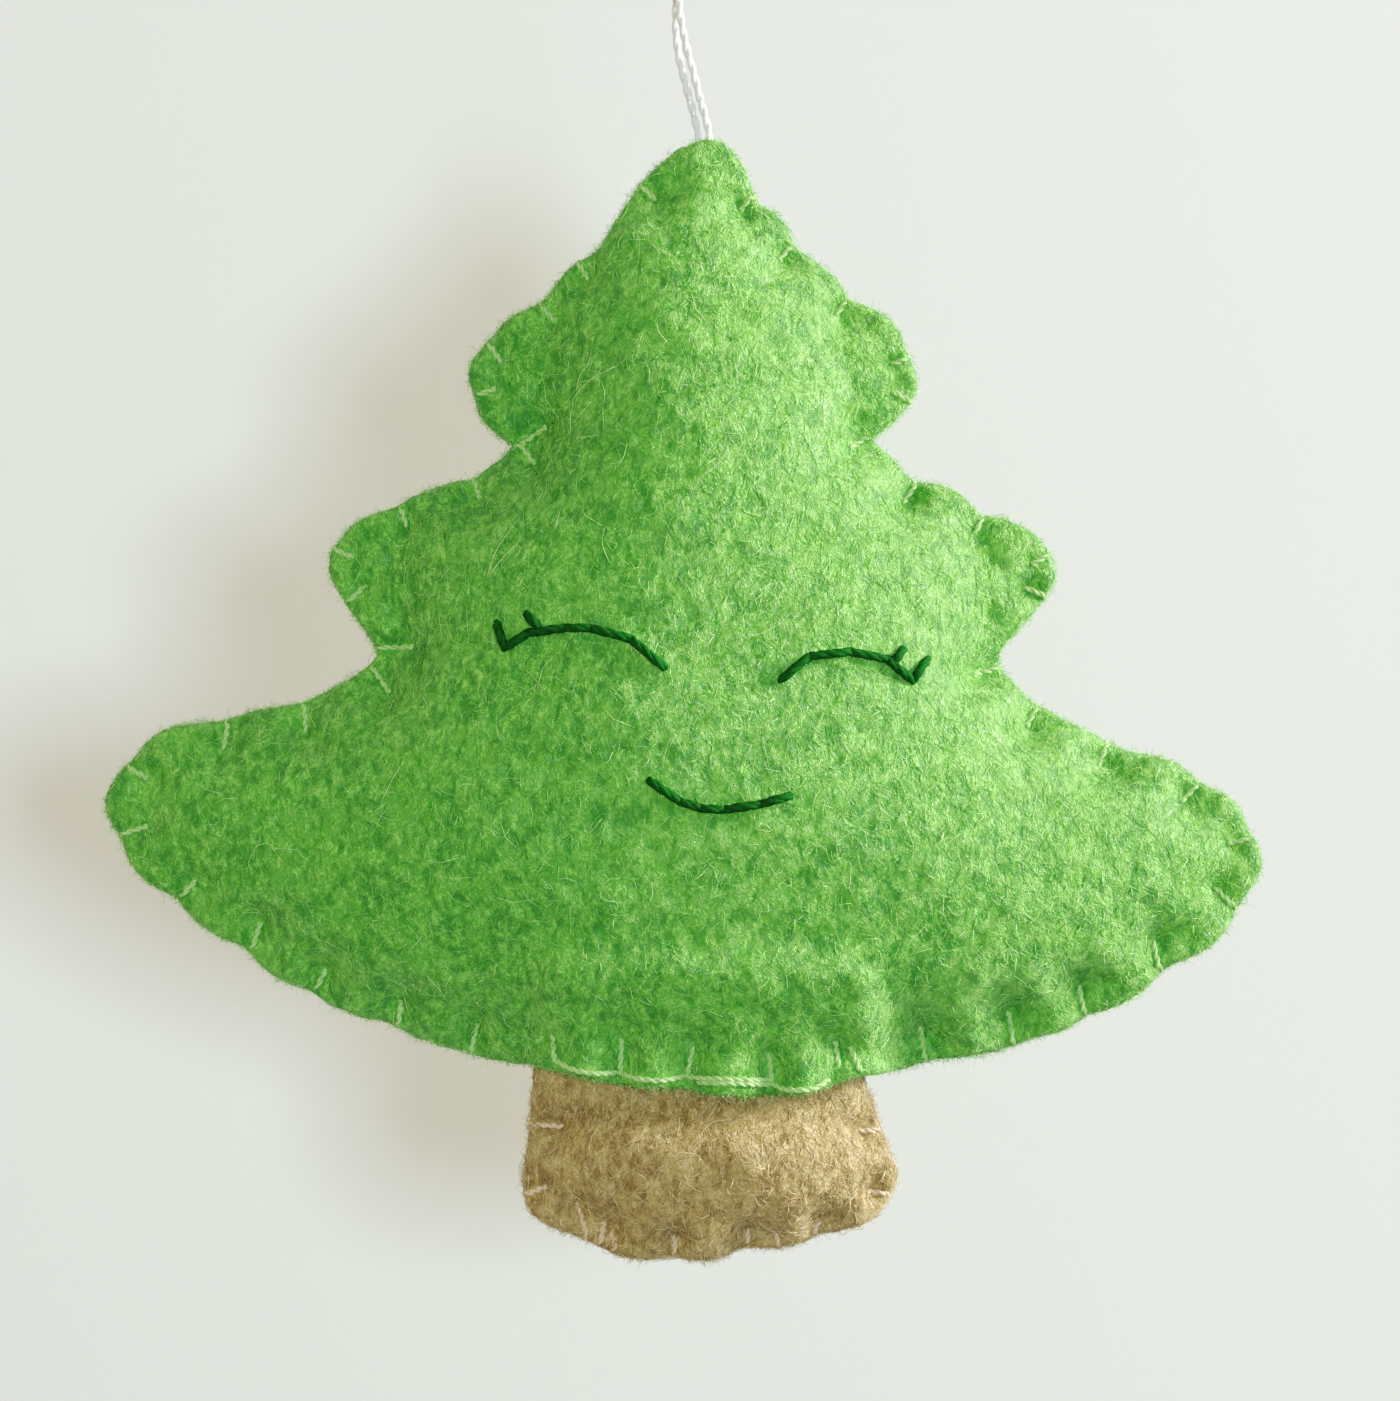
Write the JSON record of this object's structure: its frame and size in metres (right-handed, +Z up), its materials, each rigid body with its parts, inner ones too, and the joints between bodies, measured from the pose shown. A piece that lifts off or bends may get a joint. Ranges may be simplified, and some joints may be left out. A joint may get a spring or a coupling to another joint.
{
  "type": "felt christmas ornament",
  "caption": "Stuffed felt tree with blanket-stitched edges, a sewn sleeping face, a stuffed felt trunk and a thread loop to hang it by.",
  "frame": {"origin": "the inside top of the hanging loop, where it rests on a hook", "axes": "+Z up, the face looks along -Y, +X to the right as seen from the front; the seam between the two felt sheets lies in the plane Y = 0"},
  "size_m": [0.0933, 0.0217, 0.1088],
  "materials": {
    "green_felt": "matte wool felt with loose fibres",
    "brown_felt": "matte wool felt",
    "pale_green_thread": "soft twisted cotton",
    "blush_thread": "soft twisted cotton",
    "dark_green_floss": "stranded embroidery floss, slight sheen",
    "white_thread": "twisted thread",
    "white_stuffing": "polyester filling"
  },
  "bodies": {
    "loop": {"hanging_loop": "white_thread"},
    "neck": {"loop_neck": "white_thread"},
    "ornament": {"tree_front_felt": "green_felt", "tree_back_felt": "green_felt", "tree_stuffing": "white_stuffing", "tree_edge_thread": "pale_green_thread", "trunk_front_felt": "brown_felt", "trunk_back_felt": "brown_felt", "trunk_stuffing": "white_stuffing", "trunk_edge_thread": "blush_thread", "left_eye_thread": "dark_green_floss", "left_eye_outer_lash": "dark_green_floss", "left_eye_inner_lash": "dark_green_floss", "right_eye_thread": "dark_green_floss", "right_eye_outer_lash": "dark_green_floss", "right_eye_inner_lash": "dark_green_floss", "mouth_thread": "dark_green_floss", "loop_anchor": "white_thread"}
  },
  "joints": [
    {"name": "front_swing", "type": "hinge", "parent": "loop", "child": "neck", "pos_m": [0.0022, 0, -0.0152], "axis": [1, 0, 0], "range_deg": [-75, 75]},
    {"name": "side_sway", "type": "hinge", "parent": "neck", "child": "ornament", "pos_m": [0.0022, 0, -0.01785], "axis": [0, 1, 0], "range_deg": [-45, 45]}
  ]
}
